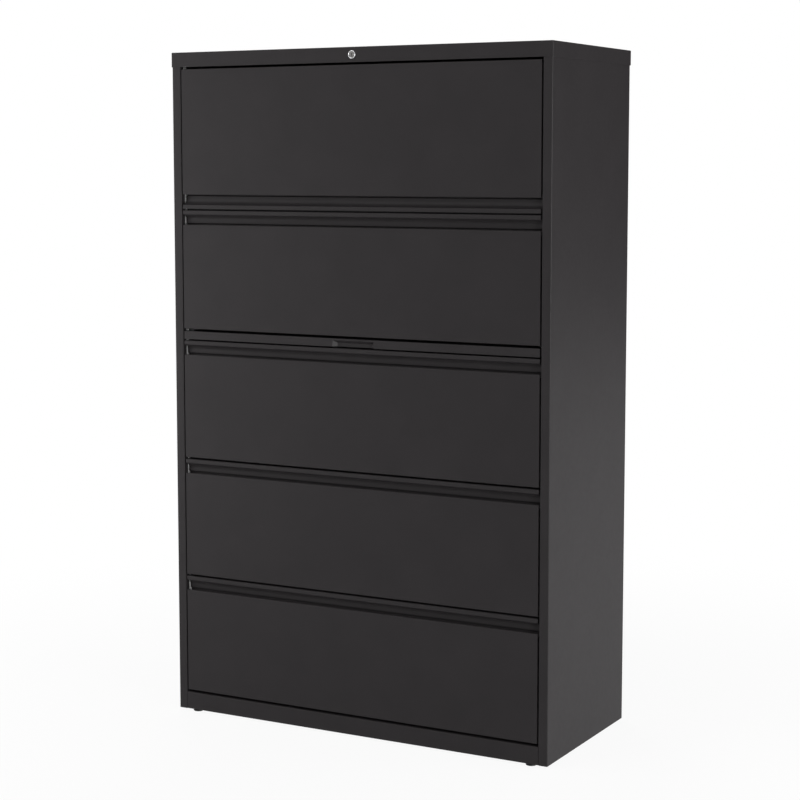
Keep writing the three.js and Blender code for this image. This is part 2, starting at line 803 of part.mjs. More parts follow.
// Interlock bar: an upright strip by the left stile, with a lug for the door and each drawer.
function interlockBar() {
  const outer = -(openingHalf - seat);
  const inner = -interlockInner;
  const armTop = followerHeight + interlockArmHeight / 2;
  const armFront = interlockBack - crossBarSheet;
  const strip = slab(outer, inner, interlockDepth, interlockBack, baseTop + gapAboveBase, armTop);
  const arm = slab(
    outer, outer + interlockArmReach, armFront, interlockBack, armTop - interlockArmHeight, armTop);
  const follower = rodAlongY(
    followerRadius, followerX, armFront, crossBarDepth + crossBarSheet + through, followerHeight);
  const lugHeights = drawerBottoms.map((bottom) => bottom + lugAboveDrawerBottom);
  lugHeights.push(doorBottom + channelBase + lugAboveDoorChannel);
  const lugTip = -frontHalf + frontSheet;
  const lugs = lugHeights.map((bottom) => slab(
    outer, lugTip, lugFront, lugFront + lugWidth, bottom, bottom + lugHeight));
  return join(strip, arm, follower, ...lugs);
}

addPiece(cabinet, 'lock_barrel', lockBarrel(), chrome());
addPiece(cabinet, 'lock_plug', lockPlug(), chrome()).position.z = lockHeight;
addPiece(cabinet, 'lock_cross_bar', crossBar(), zincPlate());
addPiece(cabinet, 'interlock_bar', interlockBar(), zincPlate());

export default cabinet;
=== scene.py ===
"""Lateral filing cabinet: its finishes, hardware and studio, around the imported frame.

Laid out as an add-on: property groups hold the sizes and colours, each operator makes one group of
pieces, and main() runs them in order. Metres, +Z up, and the front faces -Y.
"""

import functools
import json
import math

import bmesh
import bpy
from bpy.props import FloatProperty, FloatVectorProperty, PointerProperty
from bpy.types import Operator, Panel, PropertyGroup
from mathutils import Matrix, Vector


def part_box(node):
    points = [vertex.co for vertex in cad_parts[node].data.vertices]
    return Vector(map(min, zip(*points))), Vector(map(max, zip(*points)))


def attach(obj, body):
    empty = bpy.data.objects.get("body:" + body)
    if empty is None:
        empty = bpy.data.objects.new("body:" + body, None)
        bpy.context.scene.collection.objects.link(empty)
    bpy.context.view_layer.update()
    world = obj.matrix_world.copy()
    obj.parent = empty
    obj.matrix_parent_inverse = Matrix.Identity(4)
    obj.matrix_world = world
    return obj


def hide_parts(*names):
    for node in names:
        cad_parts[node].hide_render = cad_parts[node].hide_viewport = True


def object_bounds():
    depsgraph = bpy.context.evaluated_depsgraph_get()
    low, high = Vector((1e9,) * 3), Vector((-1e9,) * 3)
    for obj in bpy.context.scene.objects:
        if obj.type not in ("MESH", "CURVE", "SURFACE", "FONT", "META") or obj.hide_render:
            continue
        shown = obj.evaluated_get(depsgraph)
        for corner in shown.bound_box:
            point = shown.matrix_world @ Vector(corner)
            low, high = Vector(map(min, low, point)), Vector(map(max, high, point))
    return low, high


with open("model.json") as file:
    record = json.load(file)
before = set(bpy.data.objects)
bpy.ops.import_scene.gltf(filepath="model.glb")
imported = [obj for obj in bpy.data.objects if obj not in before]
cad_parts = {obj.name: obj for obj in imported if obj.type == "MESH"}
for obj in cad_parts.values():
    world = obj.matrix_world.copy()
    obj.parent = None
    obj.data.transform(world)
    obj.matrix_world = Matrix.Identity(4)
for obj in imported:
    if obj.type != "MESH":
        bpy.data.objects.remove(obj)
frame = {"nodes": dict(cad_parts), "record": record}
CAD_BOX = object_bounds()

bl_info = {
    "name": "Lateral Filing Cabinet",
    "version": (1, 0, 0),
    "blender": (4, 5, 0),
    "location": "View3D > Sidebar > Cabinet",
    "description": "Finishes, hardware and a studio for a steel lateral filing cabinet",
    "category": "Object",
}

SIDES = {"left": -1, "right": 1}
DRAWERS = ["drawer_1", "drawer_2", "drawer_3", "drawer_4"]
# A mix node has one socket of the same name for each type of data, so those for colours go by number.
COLOUR_A, COLOUR_B, COLOUR_RESULT = 6, 7, 2


def colour_property(name, description, default):
    return FloatVectorProperty(
        name=name, description=description, subtype="COLOR", size=3, min=0, max=1, default=default)


def length_property(name, description, default):
    return FloatProperty(name=name, description=description, unit="LENGTH", min=0, default=default)


def share_property(name, description, default):
    return FloatProperty(
        name=name, description=description, subtype="FACTOR", min=0, max=1, default=default)


def angle_property(name, description, degrees):
    return FloatProperty(
        name=name, description=description, subtype="ANGLE", default=math.radians(degrees))


class CabinetFinish(PropertyGroup):
    """Colours and surface of each finish."""

    paint: colour_property("Paint", "Charcoal powder coat", (0.0288, 0.0261, 0.0274))
    paint_roughness: share_property("Paint roughness", "Satin of the powder coat", 0.47)
    peel_size: length_property("Orange peel size", "Width of the coat's ripples", 0.0016)
    peel_depth: length_property("Orange peel depth", "Height of the coat's ripples", 0.000006)
    zinc: colour_property("Zinc", "Bright zinc plating", (0.56, 0.57, 0.58))
    dull_zinc: colour_property("Dull zinc", "Passivated zinc of the interlock bar", (0.84, 0.84, 0.83))
    chrome: colour_property("Chrome", "Bezel of the lock", (0.6, 0.6, 0.61))
    nickel: colour_property("Nickel", "Plug and barrel of the lock", (0.17, 0.166, 0.162))
    plastic: colour_property("Plastic", "Black moulded plastic", (0.008, 0.008, 0.008))
    iron: colour_property("Iron", "Bare cast iron", (0.075, 0.07, 0.066))


class CabinetSizes(PropertyGroup):
    """Sizes of edges and hardware."""

    edge: length_property("Edge", "Radius of a cut sheet edge under its coat", 0.0003)
    sharpest: angle_property("Sharpest bend", "Steeper bends than this are edges", 40)
    flattest: angle_property("Flattest bend", "Gentler bends than this are flat", 0.3)
    weld: length_property("Weld", "Corners nearer to each other than this are one", 0.000002)
    sheet: length_property("Panel sheet", "Thickness of the case's sheet", 0.0012)
    tray_sheet: length_property("Tray sheet", "Thickness of a tray's sheet", 0.001)
    slide_sheet: length_property("Slide sheet", "Thickness of a slide's sheet", 0.0012)
    panel_margin: length_property("Back margin", "Case that shows beside the back panel", 0.004)
    shelf_skirt: length_property("Shelf skirt", "Height of the inner shelf's skirt", 0.018)
    rivet: length_property("Rivet", "Width of a rivet's head", 0.0082)
    rivet_height: length_property("Rivet height", "Height of a rivet's head", 0.0013)
    rivet_margin: length_property("Rivet margin", "From the end of a row to its first rivet", 0.03)
    back_pitch: length_property("Back pitch", "Between the rivets of the back", 0.2)
    tray_span: share_property("Tray span", "Share of a tray's width that its rivets take", 0.92)
    tray_pitch: length_property("Tray pitch", "Between the rivets of a tray's front", 0.18)
    slide_pitch: length_property("Slide pitch", "Between the rivets of a slide", 0.11)
    liner_pitch: length_property("Liner pitch", "Between the rivets of the door's liner", 0.19)
    flange_rise: length_property("Flange rise", "Height of a row of rivets in a flange", 0.009)
    liner_inset: length_property("Liner inset", "From the liner's edge to its rivets", 0.014)
    bead: length_property("Bead", "Width of a stiffening bead", 0.016)
    bead_height: length_property("Bead height", "Height of a stiffening bead", 0.0022)
    bead_root: length_property("Bead root", "Depth that a bead is let into the floor", 0.0002)
    bead_span: share_property("Bead span", "Share of a tray's width that its beads take", 0.8)
    bead_pitch: length_property("Bead pitch", "Between the beads of a tray's floor", 0.26)
    bead_margin: length_property("Bead margin", "From a tray's wall to the end of a bead", 0.05)
    glide_foot: length_property("Glide foot", "Height of a glide's foot", 0.0057)
    glide_stud: length_property("Glide stud", "Width of a glide's stud", 0.008)
    thread_pitch: length_property("Thread pitch", "Between the turns of a stud's thread", 0.00125)
    glide_nut: length_property("Glide nut", "Height of a glide's jam nut", 0.006)
    lock_bore: length_property("Lock bore", "Width of the barrel's bore", 0.013)
    lock_body: length_property("Lock body", "Width of the barrel behind its flange", 0.019)
    lock_flange: length_property("Lock flange", "Depth of the barrel's flange", 0.0022)
    lock_bezel: length_property("Lock bezel", "Width of the bezel's rolled ring", 0.0029)
    strip: length_property("Interlock strip", "Depth of the interlock bar's strip", 0.01)
    seat: length_property("Seat", "Gap between pieces that rest on each other", 0.0003)
    clip_gap: length_property("Clip gap", "Play of the interlock bar in its clips", 0.0005)
    clip_sheet: length_property("Clip sheet", "Thickness of a clip's sheet", 0.0008)
    clip_height: length_property("Clip height", "Height of a clip", 0.016)
    clip_rise: length_property("Clip rise", "From the foot of a front to the clip behind it", 0.24)


class CabinetStudio(PropertyGroup):
    """Camera and room light."""

    camera: FloatVectorProperty(
        name="Camera", description="Place of the camera", subtype="TRANSLATION", unit="LENGTH",
        default=(2.369, -4.313, 1.436))
    turn: angle_property("Turn", "Camera's turn to the left of straight ahead", 28.74)
    tilt: angle_property("Tilt", "Camera's tilt below level", 6.06)
    lens: FloatProperty(name="Lens", description="Focal length in millimetres", default=86.6)
    drop: FloatProperty(name="Drop", description="Frame's shift down, in frame widths", default=0.04)
    ambient: FloatProperty(name="Ambient", description="Strength of the soft room light", default=0.28)


def finish():
    return bpy.context.scene.cabinet_finish


def sizes():
    return bpy.context.scene.cabinet_sizes


def studio():
    return bpy.context.scene.cabinet_studio


# Shading helpers: they add nodes to the tree of one material or of the room.


def fill(tree, made, **values):
    """Gives a node's inputs, by name, values or links."""
    for name, value in values.items():
        socket = made.inputs[name.replace("_", " ")]
        if isinstance(value, bpy.types.NodeSocket):
            tree.links.new(value, socket)
        else:
            socket.default_value = value


def node(tree, kind, **values):
    """New node with its inputs filled."""
    made = tree.nodes.new(kind)
    fill(tree, made, **values)
    return made


def shader_mix(tree, factor, first, second):
    """Shader between two, by a factor."""
    mix = node(tree, "ShaderNodeMixShader", Fac=factor)
    tree.links.new(first, mix.inputs[1])
    tree.links.new(second, mix.inputs[2])
    return mix.outputs[0]


def grain(tree, size, detail, stretch=(1, 1, 1)):
    """Noise whose grains are about size across, longer along an axis that is stretched."""
    place = node(tree, "ShaderNodeTexCoord").outputs["Object"]
    scale = [1 / (size * share) for share in stretch]
    mapped = node(tree, "ShaderNodeMapping", Vector=place, Scale=scale).outputs["Vector"]
    return node(tree, "ShaderNodeTexNoise", Vector=mapped, Scale=1.0, Detail=detail).outputs["Fac"]


def spread(tree, factor, low, high):
    """Noise stretched to run from low to high."""
    ranged = node(
        tree, "ShaderNodeMapRange", Value=factor, From_Min=0.3, From_Max=0.7, To_Min=low, To_Max=high)
    return ranged.outputs["Result"]


def blend_colours(tree, factor, first, second):
    """Colour between two, by a factor."""
    mix = tree.nodes.new("ShaderNodeMix")
    mix.data_type = "RGBA"
    tree.links.new(factor, mix.inputs["Factor"])
    mix.inputs[COLOUR_A].default_value = (*first, 1)
    mix.inputs[COLOUR_B].default_value = (*second, 1)
    return mix.outputs[COLOUR_RESULT]


def mottled(tree, factor, colour, dark, light):
    """Colour that runs, by a factor, between two shares of its own brightness."""
    shades = [tuple(min(channel * share, 1.0) for channel in colour) for share in (dark, light)]
    return blend_colours(tree, factor, *shades)


def relief(tree, height, depth, under=None):
    """Bump of a given depth, on top of another bump if there is one."""
    bump = node(tree, "ShaderNodeBump", Height=height, Strength=1.0, Distance=depth)
    if under is not None:
        tree.links.new(under, bump.inputs["Normal"])
    return bump.outputs["Normal"]


def new_material(name):
    material = bpy.data.materials.new(name)
    material.use_nodes = True
    tree = material.node_tree
    return material, tree, tree.nodes["Principled BSDF"]


def charcoal_paint():
    """Satin powder coat: a faint mottle, an uneven satin and the ripple of orange peel."""
    material, tree, shader = new_material("charcoal_powder_coat")
    mottle = spread(tree, grain(tree, size=0.09, detail=3), low=0, high=1)
    colour = mottled(tree, mottle, finish().paint, dark=0.95, light=1.05)
    rough = finish().paint_roughness
    satin = spread(tree, grain(tree, size=0.012, detail=4), low=rough - 0.02, high=rough + 0.02)
    peel = relief(tree, grain(tree, finish().peel_size, detail=1), finish().peel_depth)
    dust = relief(tree, grain(tree, size=0.0003, detail=1), depth=0.000001, under=peel)
    fill(tree, shader, Base_Color=colour, Roughness=satin, Normal=dust, Specular_IOR_Level=0.11)
    return material


def zinc_plate():
    """Bright zinc over rolled steel: fine streaks along the rolling and cloudy tints."""
    material, tree, shader = new_material("bright_zinc")
    cloud = spread(tree, grain(tree, size=0.02, detail=3), low=0, high=1)
    colour = mottled(tree, cloud, finish().zinc, dark=0.9, light=1.06)
    streak = grain(tree, size=0.0008, detail=3, stretch=(1, 40, 1))
    satin = spread(tree, streak, low=0.28, high=0.42)
    marks = relief(tree, streak, depth=0.000004)
    fill(tree, shader, Base_Color=colour, Roughness=satin, Normal=marks, Metallic=1.0)
    return material


def lock_chrome():
    """Satin chrome with the faint turning marks of its barrel."""
    material, tree, shader = new_material("satin_chrome")
    turning = grain(tree, size=0.0004, detail=2)
    colour = mottled(tree, turning, finish().chrome, dark=0.94, light=1.03)
    satin = spread(tree, turning, low=0.16, high=0.26)
    marks = relief(tree, turning, depth=0.000003)
    fill(tree, shader, Base_Color=colour, Roughness=satin, Normal=marks, Metallic=1.0)
    return material


def dull_zinc():
    """Passivated zinc, matt and pale, on the strip that slides in the gap."""
    material, tree, shader = new_material("dull_zinc")
    streak = grain(tree, size=0.0012, detail=3, stretch=(1, 1, 30))
    colour = mottled(tree, streak, finish().dull_zinc, dark=0.94, light=1.06)
    matt = spread(tree, streak, low=0.5, high=0.62)
    marks = relief(tree, streak, depth=0.000004)
    fill(tree, shader, Base_Color=colour, Roughness=matt, Normal=marks, Metallic=0.15)
    return material


def lock_nickel():
    """Satin nickel of the lock's plug and barrel, darker than the bezel round them."""
    material, tree, shader = new_material("lock_nickel")
    turning = grain(tree, size=0.0003, detail=2)
    colour = mottled(tree, turning, finish().nickel, dark=0.9, light=1.1)
    satin = spread(tree, turning, low=0.3, high=0.42)
    marks = relief(tree, turning, depth=0.000004)
    fill(tree, shader, Base_Color=colour, Roughness=satin, Normal=marks, Metallic=1.0)
    return material


def black_plastic():
    """Moulded plastic with a fine spark-eroded grain."""
    material, tree, shader = new_material("moulded_plastic")
    sparks = grain(tree, size=0.0007, detail=2)
    colour = mottled(tree, sparks, finish().plastic, dark=0.85, light=1.2)
    matt = spread(tree, sparks, low=0.48, high=0.6)
    pits = relief(tree, sparks, depth=0.00002)
    fill(tree, shader, Base_Color=colour, Roughness=matt, Normal=pits, Specular_IOR_Level=0.3)
    return material


def bare_iron():
    """Sand-cast iron: dark scale, a coarse skin and a little rust."""
    material, tree, shader = new_material("cast_iron")
    scale = spread(tree, grain(tree, size=0.012, detail=5), low=0, high=1)
    red, green, blue = finish().iron
    colour = blend_colours(tree, scale, finish().iron, (red * 1.5, green * 0.95, blue * 0.7))
    matt = spread(tree, scale, low=0.6, high=0.8)
    skin = relief(tree, grain(tree, size=0.002, detail=4), depth=0.00025)
    fill(tree, shader, Base_Color=colour, Roughness=matt, Normal=skin, Metallic=0.7)
    return material


@functools.cache
def material_of(make):
    """The one material that a finish makes, when it is first wanted."""
    return make()


FINISHES = {
    "charcoal_paint": charcoal_paint,
    "zinc_plate": zinc_plate,
    "lock_chrome": lock_chrome,
    "black_plastic": black_plastic,
    "bare_iron": bare_iron,
}


# Dressing of the frame's own nodes.


def fold_smoothing():
    """Geometry nodes that shade gentle bends smooth and leave steep edges sharp."""
    name = "fold_smoothing"
    if name in bpy.data.node_groups:
        return bpy.data.node_groups[name]
    tree = bpy.data.node_groups.new(name, "GeometryNodeTree")
    tree.interface.new_socket("Geometry", in_out="INPUT", socket_type="NodeSocketGeometry")
    tree.interface.new_socket("Geometry", in_out="OUTPUT", socket_type="NodeSocketGeometry")
    source = tree.nodes.new("NodeGroupInput")
    result = tree.nodes.new("NodeGroupOutput")
    bend = tree.nodes.new("GeometryNodeInputMeshEdgeAngle")
    steep = tree.nodes.new("FunctionNodeCompare")
    steep.operation = "GREATER_THAN"
    tree.links.new(bend.outputs["Unsigned Angle"], steep.inputs["A"])
    steep.inputs["B"].default_value = sizes().sharpest
    faces = tree.nodes.new("GeometryNodeSetShadeSmooth")
    faces.domain = "FACE"
    edges = tree.nodes.new("GeometryNodeSetShadeSmooth")
    edges.domain = "EDGE"
    edges.inputs["Shade Smooth"].default_value = False
    tree.links.new(source.outputs[0], faces.inputs["Geometry"])
    tree.links.new(faces.outputs["Geometry"], edges.inputs["Geometry"])
    tree.links.new(steep.outputs["Result"], edges.inputs["Selection"])
    tree.links.new(edges.outputs["Geometry"], result.inputs[0])
    return tree


def ease_edges(piece):
    """Rounds the sharp edges of a piece and keeps its flat faces flat."""
    weld = piece.modifiers.new("Weld", "WELD")
    weld.merge_threshold = sizes().weld
    flatten = piece.modifiers.new("Flat faces", "DECIMATE")
    flatten.decimate_type = "DISSOLVE"
    flatten.angle_limit = sizes().flattest
    bevel = piece.modifiers.new("Eased edges", "BEVEL")
    bevel.width = sizes().edge
    bevel.segments = 2
    bevel.limit_method = "ANGLE"
    bevel.angle_limit = sizes().sharpest
    smooth = piece.modifiers.new("Fold smoothing", "NODES")
    smooth.node_group = fold_smoothing()
    weigh = piece.modifiers.new("Flat shading", "WEIGHTED_NORMAL")
    weigh.keep_sharp = True


SLOTS = {part["node"]: part["material_slot"] for part in frame["record"]["subparts"]}


def dress(*names, make=None):
    """Gives the named nodes their finish, or the one that make gives, and their eased edges."""
    for name in names:
        solid = frame["nodes"][name]
        solid.data.materials.clear()
        solid.data.materials.append(material_of(make or FINISHES[SLOTS[name]]))
        ease_edges(solid)


# Shapes: arc gives points, and each of the others adds one closed shell to a bmesh.


def arc(centre, radii, start, end, steps):
    """Points of an ellipse round a centre, from one angle in degrees to another."""
    points = []
    for step in range(steps + 1):
        angle = math.radians(start + (end - start) * step / steps)
        points.append((centre[0] + radii[0] * math.cos(angle), centre[1] + radii[1] * math.sin(angle)))
    return points


def turned(shell, profile, place, axis, steps):
    """Turns a profile of (radius, height) pairs round an axis. It closes on the axis or on itself."""
    turn = Vector((0, 0, 1)).rotation_difference(Vector(axis)).to_matrix()
    rings = []
    for radius, height in profile:
        count = steps if radius > 0 else 1
        ring = []
        for step in range(count):
            angle = math.tau * step / steps
            point = Vector((radius * math.cos(angle), radius * math.sin(angle), height))
            ring.append(shell.verts.new(Vector(place) + turn @ point))
        rings.append(ring)
    closes = profile[0][0] > 0
    pairs = list(zip(rings, rings[1:] + rings[:1])) if closes else list(zip(rings, rings[1:]))
    for low, high in pairs:
        for step in range(steps):
            corners = [low[step % len(low)], low[(step + 1) % len(low)],
                       high[(step + 1) % len(high)], high[step % len(high)]]
            shell.faces.new(dict.fromkeys(corners))


def threaded(shell, place, length, major, pitch, steps=20):
    """Upright rod with a V thread, closed at both ends."""
    depth, rows_per_turn = 0.54 * pitch, 6
    rows = round(length / pitch * rows_per_turn)
    rings = []
    for row in range(rows + 1):
        height = length * row / rows
        ring = []
        for step in range(steps):
            phase = (height / pitch - step / steps) % 1
            radius = major - depth * abs(2 * phase - 1)
            angle = math.tau * step / steps
            point = Vector((radius * math.cos(angle), radius * math.sin(angle), height))
            ring.append(shell.verts.new(Vector(place) + point))
        rings.append(ring)
    for low, high in zip(rings, rings[1:]):
        for step in range(steps):
            after = (step + 1) % steps
            shell.faces.new([low[step], low[after], high[after], high[step]])
    shell.faces.new(reversed(rings[0]))
    shell.faces.new(rings[-1])


def upright(shell, outline, low, high):
    """Prism that stands on an outline of (x, y) corners, from one height to another."""
    bottom = [shell.verts.new((x, y, low)) for x, y in outline]
    top = [shell.verts.new((x, y, high)) for x, y in outline]
    shell.faces.new(reversed(bottom))
    shell.faces.new(top)
    for step in range(len(outline)):
        after = (step + 1) % len(outline)
        shell.faces.new([bottom[step], bottom[after], top[after], top[step]])


def piece(name, shell, body, slot, *replaced, make=None, eased=False):
    """Object made from a bmesh, in a finish of the record or the one that make gives, riding a body."""
    bmesh.ops.recalc_face_normals(shell, faces=shell.faces)
    mesh = bpy.data.meshes.new(name)
    shell.to_mesh(mesh)
    shell.free()
    mesh.materials.append(material_of(make or FINISHES[slot]))
    made = bpy.data.objects.new(name, mesh)
    bpy.context.scene.collection.objects.link(made)
    if eased:
        ease_edges(made)
    else:
        mesh.set_sharp_from_angle(angle=sizes().sharpest)
    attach(made, body)
    if replaced:
        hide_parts(*replaced)


# Rivets and their rows.


def rivet(shell, place, axis):
    """Blind rivet: a low dome with the stub of its pin in the middle."""
    radius, height = sizes().rivet / 2, sizes().rivet_height
    hole, flat, sunk = 0.25 * radius, 0.38 * radius, 0.2 * height
    turned(shell, [
        (0, 0.72 * height),
        (0.8 * hole, 0.72 * height),
        (hole, height / 2),
        (1.28 * hole, height / 2),
        *arc((flat, 0), (radius - flat, height), 90, 0, steps=4),
        (radius, -sunk),
        (0, -sunk),
    ], place, axis, steps=20)


def along(start, end, pitch):
    """Even places from start to end, about a pitch apart."""
    count = max(round(abs(end - start) / pitch), 1)
    return [start + (end - start) * step / count for step in range(count + 1)]


# Pieces.


class CABINET_OT_case(Operator):
    """Paint the panels, cap, base, back and shelf, and rivet the back on"""

    bl_idname = "cabinet.case"
    bl_label = "Case"

    def execute(self, context):
        dress("left_side_panel", "right_side_panel", "top_cap", "base_pan", "back_panel")
        dress("binder_shelf", "counterweight")
        shell = bmesh.new()
        low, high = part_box("back_panel")
        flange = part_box("base_pan")[1]
        for side in SIDES.values():
            x = side * (flange.x + high.x + sizes().panel_margin) / 2
            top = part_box("top_cap")[0].z - sizes().rivet_margin
            for z in along(low.z + sizes().rivet_margin, top, sizes().back_pitch):
                rivet(shell, (x, high.y, z), (0, 1, 0))
        reach = 2 * sizes().back_pitch
        for z in (flange.z / 2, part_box("binder_shelf")[1].z - sizes().shelf_skirt / 2):
            for x in along(-reach, reach, sizes().back_pitch):
                rivet(shell, (x, high.y, z), (0, 1, 0))
        piece("back_rivets", shell, "case", "zinc_plate")
        return {"FINISHED"}


class CABINET_OT_glides(Operator):
    """Make the levelling glides: a foot, its threaded stud and a jam nut"""

    bl_idname = "cabinet.glides"
    bl_label = "Levelling glides"

    def execute(self, context):
        for name in [name for name in frame["nodes"] if name.startswith("glide_")]:
            self.glide(name)
        return {"FINISHED"}

    def glide(self, name):
        low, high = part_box(name)
        centre = (low + high) / 2
        seat = Vector((centre.x, centre.y, 0))
        radius, height = (high.x - low.x) / 2, sizes().glide_foot
        sole, crown, brim = 0.8 * radius, 0.55 * radius, 0.36 * height
        foot = bmesh.new()
        turned(foot, [
            (0, 0),
            *arc((sole, brim), (radius - sole, brim), -90, 0, steps=4),
            *arc((crown, brim), (radius - crown, height - brim), 0, 90, steps=6)[1:],
            (0, height),
        ], seat, (0, 0, 1), steps=48)
        piece(f"{name}_foot", foot, "case", "black_plastic", name)
        stud = bmesh.new()
        root = seat + Vector((0, 0, 0.6 * height))
        threaded(stud, root, high.z - root.z, sizes().glide_stud / 2, sizes().thread_pitch)
        nut = seat + Vector((0, 0, height + sizes().sheet + 2 * sizes().seat))
        corner, tall = 0.9 * sizes().glide_stud, sizes().glide_nut
        face, chamfer = 0.84 * corner, 0.1 * tall
        turned(stud, [
            (0, 0), (face, 0), (corner, chamfer), (corner, tall - chamfer), (face, tall), (0, tall),
        ], nut, (0, 0, 1), steps=6)
        piece(f"{name}_stud", stud, "case", "zinc_plate")


class CABINET_OT_drawers(Operator):
    """Paint the drawer fronts and trays, with their floor beads, rivets and hanging rails"""

    bl_idname = "cabinet.drawers"
    bl_label = "Drawers"

    def execute(self, context):
        for name in DRAWERS:
            dress(f"{name}_front", f"{name}_tray", f"{name}_hang_rail")
            self.floor_beads(name)
            self.rivets(name)
        return {"FINISHED"}

    def floor_beads(self, name):
        low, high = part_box(f"{name}_tray")
        floor = low.z + sizes().tray_sheet
        span, margin = sizes().bead_span, sizes().bead_margin
        shell = bmesh.new()
        for x in along(span * low.x, span * high.x, sizes().bead_pitch):
            self.bead(shell, x, low.y + margin, high.y - margin, floor)
        piece(f"{name}_floor_beads", shell, name, "charcoal_paint")

    def bead(self, shell, x, front, back, floor):
        """Pressed stiffening bead, with its ends rounded off."""
        half, steps = sizes().bead / 2, 8
        root = floor - sizes().bead_root
        rise = sizes().bead_height + sizes().bead_root
        stations = arc((front + half, 0), (-half, 1), 0, 90, steps=6)[1:]
        stations += [(front + back - y, share) for y, share in reversed(stations)]
        rings = []
        for y, share in stations:
            arch = arc((x, root), (half * share, rise * share), 0, 180, steps)
            rings.append([shell.verts.new((across, y, up)) for across, up in arch])
        for near, far in zip(rings, rings[1:]):
            for step in range(steps + 1):
                after = (step + 1) % (steps + 1)
                shell.faces.new([near[step], near[after], far[after], far[step]])
        shell.faces.new(rings[0])
        shell.faces.new(rings[-1])

    def rivets(self, name):
        low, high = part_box(f"{name}_tray")
        shell = bmesh.new()
        wall, row = low.y + sizes().tray_sheet, low.z + sizes().flange_rise
        span = sizes().tray_span
        for x in along(span * low.x, span * high.x, sizes().tray_pitch):
            rivet(shell, (x, wall, row), (0, 1, 0))
        for word, side in SIDES.items():
            front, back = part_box(f"{name}_slide_inner_{word}")
            web = (front.x if side > 0 else back.x) + side * sizes().slide_sheet
            middle = (front.z + back.z) / 2
            ends = front.y + sizes().rivet_margin, back.y - sizes().rivet_margin
            for y in along(*ends, sizes().slide_pitch):
                rivet(shell, (web, y, middle), (side, 0, 0))
        piece(f"{name}_rivets", shell, name, "zinc_plate")


class CABINET_OT_slides(Operator):
    """Plate the telescopic slides and the runners of the posting shelf"""

    bl_idname = "cabinet.slides"
    bl_label = "Slides"

    def execute(self, context):
        dress(*[name for name in frame["nodes"] if "_slide_" in name or "_runner_" in name])
        return {"FINISHED"}


class CABINET_OT_shelf(Operator):
    """Paint the posting shelf"""

    bl_idname = "cabinet.shelf"
    bl_label = "Posting shelf"

    def execute(self, context):
        dress("posting_shelf")
        return {"FINISHED"}


class CABINET_OT_door(Operator):
    """Paint the flip-up door, rivet its liner, and finish its carriages and tracks"""

    bl_idname = "cabinet.door"
    bl_label = "Door"

    def execute(self, context):
        dress("door_panel", "door_liner")
        dress(*[name for name in frame["nodes"] if "door_carriage" in name or "door_track" in name])
        low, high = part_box("door_liner")
        inset = sizes().liner_inset
        shell = bmesh.new()
        for z in (low.z + inset, high.z - inset):
            for x in along(low.x + inset, high.x - inset, sizes().liner_pitch):
                rivet(shell, (x, high.y, z), (0, 1, 0))
        piece("door_liner_rivets", shell, "door", "zinc_plate")
        return {"FINISHED"}


class CABINET_OT_lock(Operator):
    """Make the lock's barrel, and finish its plug, its bars and the guides of the interlock bar"""

    bl_idname = "cabinet.lock"
    bl_label = "Lock"

    def execute(self, context):
        self.barrel()
        dress("lock_plug", make=lock_nickel)
        dress("lock_cross_bar")
        dress("interlock_bar", make=dull_zinc)
        self.guides()
        return {"FINISHED"}

    def barrel(self):
        """Rolled bezel in front of the barrel that the plug turns in."""
        low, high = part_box("lock_barrel")
        axis = ((low.x + high.x) / 2, low.y, (low.z + high.z) / 2)
        rim, bore = (high.x - low.x) / 2, sizes().lock_bore / 2
        seat, back = sizes().lock_flange, high.y - low.y
        half = sizes().lock_bezel / 2
        neck, body = rim - 1.85 * half, sizes().lock_body / 2
        mouth, shoulder = 0.5 * seat, 0.42 * seat
        shell = bmesh.new()
        turned(shell, [
            (bore, back), (bore, mouth), (neck, shoulder), (neck, seat), (body, seat), (body, back),
        ], axis, (0, 1, 0), steps=64)
        piece("lock_barrel_body", shell, "case", "lock_chrome", "lock_barrel", make=lock_nickel)
        shell = bmesh.new()
        roll = arc((rim - half, seat), (-half, -seat), 0, 180, steps=14)
        turned(shell, roll, axis, (0, 1, 0), steps=64)
        piece("lock_bezel", shell, "case", "lock_chrome")

    def guides(self):
        """Clips on the left stile, one behind each front, that hold the interlock bar to its path."""
        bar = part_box("interlock_bar")[0]
        gap, sheet = sizes().clip_gap, sizes().clip_sheet
        stile = bar.x - sizes().seat
        cover = bar.x + sizes().slide_sheet + gap
        near, far = bar.y - gap, bar.y + sizes().strip + gap
        outline = [
            (stile, near - sheet), (cover + sheet, near - sheet), (cover + sheet, far + sheet),
            (stile, far + sheet), (stile, far), (cover, far), (cover, near), (stile, near),
        ]
        shell = bmesh.new()
        for front in [f"{name}_front" for name in DRAWERS] + ["door_panel"]:
            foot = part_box(front)[0].z + sizes().clip_rise
            upright(shell, outline, foot, foot + sizes().clip_height)
        piece("interlock_guides", shell, "case", "zinc_plate", eased=True)


# Stage.


def soft_lamp(name, place, target, width, height, watts, only_gloss=False):
    """Rectangular lamp aimed at a target. One that is only for gloss adds glints and no fill."""
    data = bpy.data.lights.new(name, "AREA")
    data.shape = "RECTANGLE"
    data.size = width
    data.size_y = height
    data.energy = watts
    lamp = bpy.data.objects.new(name, data)
    lamp.location = place
    lamp.rotation_mode = "QUATERNION"
    lamp.rotation_quaternion = (Vector(target) - lamp.location).to_track_quat("-Z", "Y")
    lamp.visible_camera = False
    lamp.visible_diffuse = not only_gloss
    bpy.context.scene.collection.objects.link(lamp)


